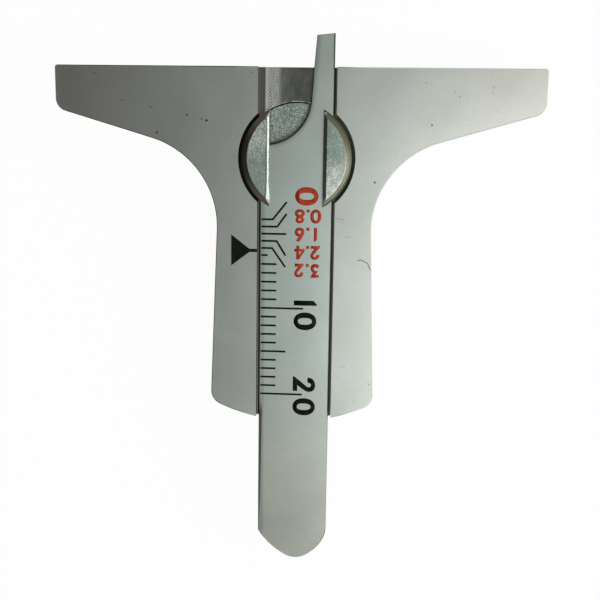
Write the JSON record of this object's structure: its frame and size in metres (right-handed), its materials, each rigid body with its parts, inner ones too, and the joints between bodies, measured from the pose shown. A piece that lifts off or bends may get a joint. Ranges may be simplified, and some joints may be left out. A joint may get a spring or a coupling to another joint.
{
  "type": "tire tread depth gauge",
  "caption": "Flat T-shaped steel depth gauge: a graduated slide with a slim probe runs in a milled channel, held by a slotted clamp stud and a knurled nut behind.",
  "frame": {"origin": "middle of the datum edge, at the level of the channel floor that the slide runs on", "axes": "+Y the way the probe comes out, square to the datum edge; +X along the arms; +Z out of the marked face"},
  "size_m": [0.0534, 0.06, 0.0081],
  "materials": {
    "stainless_plate": "satin stainless steel",
    "stainless_slide": "satin stainless steel",
    "plated_stud": "zinc plated, finely speckled",
    "spring_steel": "rolled spring steel",
    "plated_nut": "zinc plated, knurled"
  },
  "bodies": {
    "base": {"base_plate": "stainless_plate", "clamp_stud": "plated_stud"},
    "slide": {"slide_rule": "stainless_slide"},
    "washer": {"spring_washer": "spring_steel"},
    "nut": {"knurled_nut": "plated_nut"}
  },
  "joints": [
    {"name": "slide_travel", "type": "slide", "parent": "base", "child": "slide", "axis": [0, 1, 0], "range_m": [-0.0035, 0.0165]},
    {"name": "nut_travel", "type": "slide", "parent": "base", "child": "washer", "axis": [0, 0, -1], "range_m": [0, 0.0004]},
    {"name": "nut_turn", "type": "hinge", "parent": "washer", "child": "nut", "pos_m": [0, -0.0098, -0.004], "axis": [0, 0, -1], "range_deg": [0, 180]}
  ],
  "couplings": [
    {"joint": "nut_turn", "follows": "nut_travel", "rad_per_m": 7854}
  ]
}
